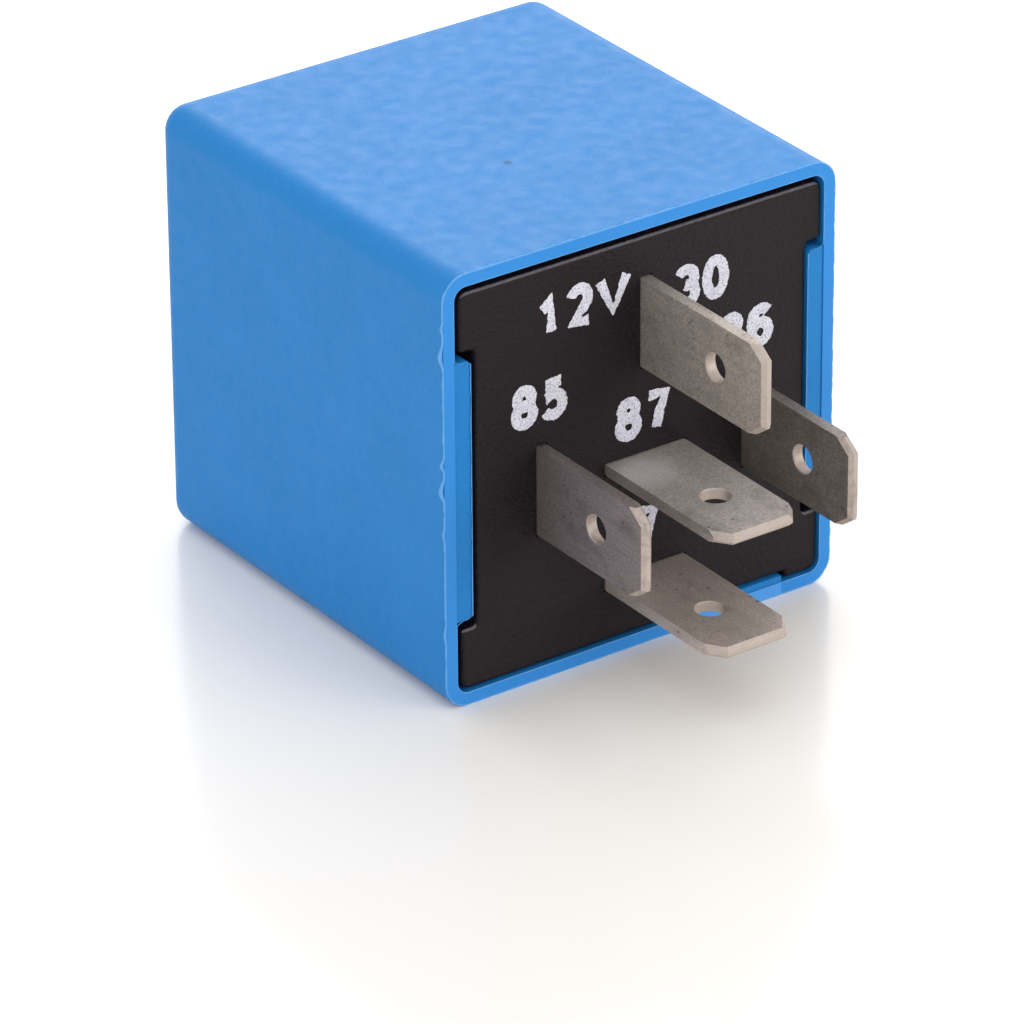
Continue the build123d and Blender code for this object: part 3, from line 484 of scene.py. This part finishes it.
def rounded_loop(width, height, radius, step):
    """Points round a rounded rectangle in X and Z, evenly spaced, with the outward direction of each."""
    half_x = width / 2 - radius
    half_z = height / 2 - radius
    corners = ((half_x, half_z, 0), (-half_x, half_z, 90), (-half_x, -half_z, 180), (half_x, -half_z, 270))
    loop = []
    for index, (x, z, start) in enumerate(corners):
        turns = max(2, round(math.radians(90) * radius / step))
        for turn in range(turns + 1):
            angle = math.radians(start + 90 * turn / turns)
            out = (math.cos(angle), math.sin(angle))
            loop.append(((x + radius * out[0], z + radius * out[1]), out))
        next_x, next_z, next_start = corners[(index + 1) % 4]
        out = (math.cos(math.radians(next_start)), math.sin(math.radians(next_start)))
        here = loop[-1][0]
        there = (next_x + radius * out[0], next_z + radius * out[1])
        length = math.dist(here, there)
        pieces = max(1, round(length / step))
        for piece in range(1, pieces):
            share = piece / pieces
            point = tuple(a + (b - a) * share for a, b in zip(here, there))
            loop.append((point, out))
    return loop


# ---------------------------------------------------------------- printed legends
def arc(centre, radii, start, end, count=14):
    """Points along an ellipse in a glyph, angles in degrees."""
    angles = [math.radians(start + (end - start) * i / count) for i in range(count + 1)]
    return [(centre[0] + radii[0] * math.cos(a), centre[1] + radii[1] * math.sin(a)) for a in angles]


GLYPHS = {
    "0": [arc((1.05, 1.55), (0.68, 1.21), 0, 360, 28)],
    "1": [[(0.42, 2.02), (0.80, 2.28), (1.08, 2.74), (1.12, 0.36)]],
    "2": [arc((1.05, 2.05), (0.66, 0.70), 165, -25) + [(1.30, 1.28), (0.42, 0.38), (1.74, 0.38)]],
    "3": [arc((1.02, 2.12), (0.62, 0.62), 155, -85) + arc((1.02, 1.00), (0.70, 0.66), 80, -155)],
    "5": [[(1.62, 2.70), (0.66, 2.70), (0.52, 1.52)] + arc((1.02, 1.12), (0.72, 0.76), 130, -150)],
    "6": [arc((1.12, 1.90), (0.72, 0.84), 40, 180) + [(0.40, 1.40)],
          arc((1.08, 1.06), (0.68, 0.70), 0, 360, 24)],
    "7": [[(0.36, 2.72), (1.74, 2.72), (1.24, 1.60), (0.98, 0.36)]],
    "8": [arc((1.05, 2.18), (0.56, 0.57), 0, 360, 20), arc((1.05, 1.00), (0.68, 0.65), 0, 360, 24)],
    "V": [[(0.36, 2.74), (1.38, 0.42), (2.44, 2.74)]],
}


def legend_strokes(text, x, z):
    """Strokes of a legend whose lower left corner is at X and Z on the base's face."""
    strokes = []
    for position, letter in enumerate(text):
        shift = x + position * LEGEND_PITCH
        for stroke in GLYPHS[letter]:
            strokes.append([(shift + across, z + up) for across, up in stroke])
    return strokes


def make_legends():
    """Terminal numbers and the coil voltage, as a thin uneven layer of print."""
    curve = bpy.data.curves.new("legends", "CURVE")
    curve.dimensions = "3D"
    curve.bevel_depth = LEGEND_STROKE * MM
    curve.bevel_resolution = 3
    curve.use_fill_caps = True
    for text, x, z in LEGENDS:
        for stroke in legend_strokes(text, x, z):
            spline = curve.splines.new("POLY")
            spline.points.add(len(stroke) - 1)
            for point, (across, up) in zip(spline.points, stroke):
                point.co = (across * MM, 0, up * MM, 1)
    guide = bpy.data.objects.new("legend_guide", curve)
    bpy.context.scene.collection.objects.link(guide)
    mesh = bpy.data.meshes.new_from_object(guide.evaluated_get(bpy.context.evaluated_depsgraph_get()))
    bpy.data.objects.remove(guide)
    thing = bpy.data.objects.new("legends", mesh)
    bpy.context.scene.collection.objects.link(thing)
    remesh = thing.modifiers.new("remesh", "REMESH")
    remesh.mode = "VOXEL"
    remesh.voxel_size = LEGEND_VOXEL * MM
    bpy.context.view_layer.update()
    solid = bpy.data.meshes.new_from_object(thing.evaluated_get(bpy.context.evaluated_depsgraph_get()))
    thing.modifiers.clear()
    thing.data = solid
    flatten_print(thing)
    return thing


def flatten_print(thing):
    """Press the strokes to a thin layer with ragged edges, and drop their hidden half."""
    work = bmesh.new()
    work.from_mesh(thing.data)
    for vertex in work.verts:
        place = vertex.co / MM
        push = noise.noise_vector(place * 4.0) * 0.075
        depth = min(1.0, max(0.0, -place.y / 0.16))
        vertex.co = Vector((place.x + push.x, -LEGEND_THICKNESS * depth, place.z + push.z)) * MM
    hidden_y = -0.1 * LEGEND_THICKNESS * MM
    hidden = [face for face in work.faces if all(vertex.co.y > hidden_y for vertex in face.verts)]
    bmesh.ops.delete(work, geom=hidden, context="FACES")
    work.to_mesh(thing.data)
    work.free()
    for face in thing.data.polygons:
        face.use_smooth = True


# ---------------------------------------------------------------- moulding flash on the cover's mouth
def bead(name, path, y, radius, wander, seed, swellings=()):
    """Uneven thread of plastic along a closed path of (point, outward direction) in X and Z.

    Swellings are (x, z, reach, height) places where the thread stands further outwards. The thread
    is held above the cover's lowest level, so that it never sinks into what the cover rests on.
    """
    sides = 6
    points = []
    for (x, z), (out_x, out_z) in path:
        rough = noise.noise(Vector((x * 1.3, z * 1.3, seed)))
        fine = noise.noise(Vector((x * 4.0, z * 4.0, seed + 9)))
        size = radius * (1 + 0.45 * rough + 0.35 * fine)
        shift = wander * (0.6 * rough + 0.5 * fine)
        for swell_x, swell_z, reach, height in swellings:
            away = math.dist((x, z), (swell_x, swell_z)) / reach
            if away < 1:
                rise = (1 - away * away) ** 2
                shift += height * rise
                size += 0.35 * height * rise
        for side in range(sides):
            angle = math.tau * side / sides
            out = shift + size * math.cos(angle)
            low = max(z + out_z * out, -COVER_HEIGHT / 2)
            points.append((x + out_x * out, y - 0.7 * size * math.sin(angle), low))
    thing = add_mesh(name, points, ring_faces(len(path), sides, closed=True))
    outward_faces(thing)
    return thing


def mouth_path(step):
    """Inner edge of the cover's mouth, round both pads, as (point, outward direction)."""
    half_x = COVER_WIDTH / 2 - WALL
    path = []
    for (x, z), out in rounded_loop(COVER_WIDTH - 2 * WALL, COVER_HEIGHT - 2 * WALL, CAVITY_RADIUS, step):
        beside_pad = abs(z) < PAD_HALF_HEIGHT and abs(x) > half_x - 0.01
        if beside_pad:
            inset = min(half_x - PAD_INNER_X, (PAD_HALF_HEIGHT - abs(z)) * 12)
            x -= math.copysign(inset, x)
        path.append(((x, z), out))
    return path


def make_flash():
    """Threads of flash along the outer edge of the rim and round the inner edge of the mouth."""
    outer = rounded_loop(COVER_WIDTH - 2 * FLASH_INSET, COVER_HEIGHT - 2 * FLASH_INSET,
                         COVER_RADIUS - FLASH_INSET, 0.2)
    swellings = [(-COVER_WIDTH / 2, *swelling) for swelling in SWELLINGS]
    threads = [
        bead("outer_thread", outer, RIM_Y + 0.05, 1.5 * FLASH_RADIUS, 0.03, 3, swellings),
        bead("inner_thread", mouth_path(0.2), RIM_Y + 0.02, 0.8 * FLASH_RADIUS, 0.04, 7),
    ]
    return join("rim_flash", threads)


# ---------------------------------------------------------------- coil, solder, resistor
def make_coil():
    """Winding with every outer turn modelled."""
    y_low, y_high = WINDING_Y
    under = WINDING_RADIUS - 2 * WIRE_RADIUS
    profile = [(y_low + 0.03, TUBE_RADIUS + 0.02), (y_low + 0.03, under), (y_high - 0.03, under),
               (y_high - 0.03, TUBE_RADIUS + 0.02)]
    drum = lathe("drum", profile + profile[:1],
                 lambda along, across, up: (MIDDLE_X + across, along, COIL_Z + up), 64, caps=False)
    turn_count = int((y_high - y_low - 2 * WIRE_RADIUS) / (2 * WIRE_RADIUS)) - 1
    steps = 44
    sides = 6
    pitch = (y_high - y_low - 2 * WIRE_RADIUS) / turn_count
    points = []
    radius = WINDING_RADIUS - WIRE_RADIUS
    total = turn_count * steps
    for step in range(total + 1):
        angle = math.tau * step / steps
        along = y_low + WIRE_RADIUS + pitch * step / steps
        lift = 0.02 * noise.noise(Vector((along * 0.8, math.cos(angle), math.sin(angle))))
        out = Vector((math.cos(angle), 0, math.sin(angle)))
        centre = Vector((MIDDLE_X, along, COIL_Z)) + out * (radius - 0.02 + lift)
        for side in range(sides):
            around = math.tau * side / sides
            points.append(centre + WIRE_RADIUS * (out * math.cos(around) + Vector((0, math.sin(around), 0))))
    wire = add_mesh("wire", points, ring_faces(total + 1, sides))
    outward_faces(wire)
    return join("coil_turns", [drum, wire])


def make_solder():
    """Solder fillets that climb the wires at the two fingers."""
    profile = [(0.0, 0.60), (0.08, 0.58), (0.22, 0.50), (0.38, 0.42),
               (0.55, 0.34), (0.68, 0.22), (0.74, 0.05)]
    beads = []
    for side in (-1, 1):
        for y in (COIL_LEAD_Y, RESISTOR_Y):
            beads.append(lathe(
                f"solder_{side}_{y}",
                profile,
                lambda along, across, up, side=side, y=y: (
                    MIDDLE_X + side * (FINGER_FACE - along), y + across * (1 + 0.08 * side), FINGER_Z + up),
                28,
            ))
    return join("solder_fillets", beads)


def make_resistor():
    """Resistor body with swollen ends."""
    half = RESISTOR_HALF_LENGTH
    side_profile = [(half, 0.45), (half - 0.08, 0.75), (half - 0.3, 1.0), (half - 0.6, 1.09),
                    (half - 1.0, 1.06), (half - 1.35, 0.96), (half - 1.7, 0.92)]
    profile = [(-along, radius) for along, radius in side_profile]
    profile += [(along, radius) for along, radius in reversed(side_profile)]
    return lathe("resistor_shape", profile,
                 lambda along, across, up: (MIDDLE_X + along, RESISTOR_Y + across, RESISTOR_Z + up), 36)


def make_leaf(source):
    """Contact leaf cut into short facets over the hinge."""
    thing = bpy.data.objects.new("contact_leaf", source.data.copy())
    bpy.context.scene.collection.objects.link(thing)
    work = bmesh.new()
    work.from_mesh(thing.data)
    bmesh.ops.remove_doubles(work, verts=work.verts, dist=1e-7)
    directions = ((Vector((0, 1, 0)), LEAF_CUTS_Y), (Vector((0, 0, 1)), LEAF_CUTS_Z))
    for normal, (first, spacing, count) in directions:
        for cut in range(count):
            place = normal * ((first + spacing * cut) * MM)
            geometry = list(work.verts) + list(work.edges) + list(work.faces)
            bmesh.ops.bisect_plane(work, geom=geometry, plane_co=place, plane_no=normal)
    work.to_mesh(thing.data)
    work.free()
    return thing


# ---------------------------------------------------------------- studio
def add_softbox(name, at, aim, size, watts):
    """Rectangular area light at a place, aimed at another."""
    light = bpy.data.lights.new(name, "AREA")
    light.shape = "RECTANGLE"
    light.size, light.size_y = size
    light.energy = watts
    thing = bpy.data.objects.new(name, light)
    bpy.context.scene.collection.objects.link(thing)
    thing.location = at
    thing.rotation_euler = (Vector(aim) - Vector(at)).to_track_quat("-Z", "Y").to_euler()


def add_camera():
    """Long-lens camera in front of the plug side, above and to the left."""
    data = bpy.data.cameras.new("camera")
    data.lens = LENS
    data.sensor_width = 36.0
    data.clip_start = 0.01
    data.clip_end = 20.0
    camera = bpy.data.objects.new("camera", data)
    bpy.context.scene.collection.objects.link(camera)
    turn = Matrix.Rotation(math.radians(-CAMERA_HEADING), 4, "Z")
    turn @= Matrix.Rotation(math.radians(90 - CAMERA_DIP), 4, "X")
    turn @= Matrix.Rotation(math.radians(CAMERA_ROLL), 4, "Z")
    camera.matrix_world = Matrix.Translation(CAMERA_AT) @ turn
    bpy.context.scene.camera = camera


# ---------------------------------------------------------------- the scene
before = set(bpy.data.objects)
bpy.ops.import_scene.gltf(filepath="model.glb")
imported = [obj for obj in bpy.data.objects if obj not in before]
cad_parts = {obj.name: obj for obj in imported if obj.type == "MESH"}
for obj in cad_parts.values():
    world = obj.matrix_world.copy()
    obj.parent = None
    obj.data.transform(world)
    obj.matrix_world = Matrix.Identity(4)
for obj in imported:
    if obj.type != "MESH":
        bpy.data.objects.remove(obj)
cad_low, cad_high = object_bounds()
scene = bpy.context.scene
scene.view_settings.view_transform = "Standard"

add_camera()

corners = ((-1, -1), (1, -1), (1, 1), (-1, 1))
floor = add_mesh("floor", [(x * FLOOR_HALF_SIZE, y * FLOOR_HALF_SIZE, 0) for x, y in corners],
                 [(0, 1, 2, 3)])
floor.location.z = cad_low.z
paint(floor, floor_finish())

world = bpy.data.worlds.new("studio")
world.use_nodes = True
world.node_tree.nodes["Background"].inputs["Color"].default_value = (1.0, 1.0, 1.0, 1.0)
world.node_tree.nodes["Background"].inputs["Strength"].default_value = WORLD_STRENGTH
scene.world = world
for softbox in SOFTBOXES:
    add_softbox(*softbox)

# Finishes of the CAD nodes.
iron = metal_finish("zinc_iron", (0.50, 0.49, 0.45), (0.34, 0.33, 0.30), (0.26, 0.42), 0.5)
tinned = metal_finish("tinned_wire", (0.74, 0.74, 0.73), (0.52, 0.52, 0.52), (0.22, 0.36), 0.12)
brass = metal_finish("rivet_brass", (0.76, 0.60, 0.34), (0.52, 0.40, 0.22), (0.24, 0.40), 0.3)
silver = metal_finish("contact_silver", (0.84, 0.83, 0.80), (0.62, 0.61, 0.58), (0.18, 0.34), 0.25)
bronze = metal_finish("spring_bronze", (0.78, 0.50, 0.26), (0.58, 0.36, 0.18), (0.22, 0.36), 0.14,
                      (1, 0.1, 0.1))
steel = metal_finish("bracket_steel", (0.60, 0.58, 0.52), (0.42, 0.40, 0.36), (0.28, 0.44), 0.4)
copper = wire_finish()

finishes = {
    "cover": cover_finish(),
    "base": base_finish(),
    "terminal_30": blade_finish("blade_30_tin", LIGHT_TIN, DARK_TIN, SMUDGE, 0.45, HOLE_30),
    "terminal_85": blade_finish("blade_85_tin", (0.33, 0.275, 0.27), (0.19, 0.155, 0.152),
                                (0.10, 0.085, 0.085), 0.6, HOLE_85),
    "terminal_86": blade_finish("blade_86_tin", (0.35, 0.31, 0.28), (0.20, 0.175, 0.155),
                                SMUDGE, 0.6, HOLE_86),
    "terminal_87_centre": blade_finish("blade_87_tin", (0.67, 0.60, 0.55), (0.41, 0.365, 0.335),
                                       SMUDGE, 0.5, HOLE_87_CENTRE, BURNISHED_AT),
    "terminal_87_lower": blade_finish("blade_87_low_tin", (0.76, 0.655, 0.59), (0.50, 0.43, 0.39),
                                      SMUDGE, 0.4, HOLE_87_LOWER),
    "terminal_rivets": brass,
    "yoke": iron,
    "yoke_rivets": brass,
    "core": iron,
    "bobbin": bobbin_finish(),
    "coil_lead_85": copper,
    "coil_lead_86": copper,
    "resistor_leads": tinned,
    "armature": iron,
    "armature_rivets": brass,
    "moving_contact": silver,
    "fixed_contact": silver,
    "stop_bracket": steel,
}
for node, material in finishes.items():
    paint(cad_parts[node], material)

# Stamped parts get slightly rounded edges.
for node in ("terminal_30", "terminal_85", "terminal_86", "terminal_87_centre", "terminal_87_lower", "yoke",
             "armature", "stop_bracket"):
    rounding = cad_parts[node].modifiers.new("rounding", "BEVEL")
    rounding.width = 0.06 * MM
    rounding.segments = 2
    rounding.limit_method = "ANGLE"
    rounding.angle_limit = math.radians(38)
    rounding.harden_normals = False

legends = make_legends()
paint(legends, legend_finish())
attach(legends, "root")

flash = make_flash()
paint(flash, flash_finish())
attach(flash, "cover")

coil = make_coil()
paint(coil, copper)
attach(coil, "root")
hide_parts("coil_winding")

solder = make_solder()
paint(solder, metal_finish("solder_tin", (0.70, 0.70, 0.72), (0.48, 0.48, 0.50), (0.18, 0.34), 0.25))
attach(solder, "root")
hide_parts("solder_joints")

resistor = make_resistor()
paint(resistor, resistor_finish())
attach(resistor, "root")
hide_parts("resistor_body")

leaf = make_leaf(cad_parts["contact_spring"])
paint(leaf, bronze)
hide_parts("contact_spring")
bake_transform(leaf)
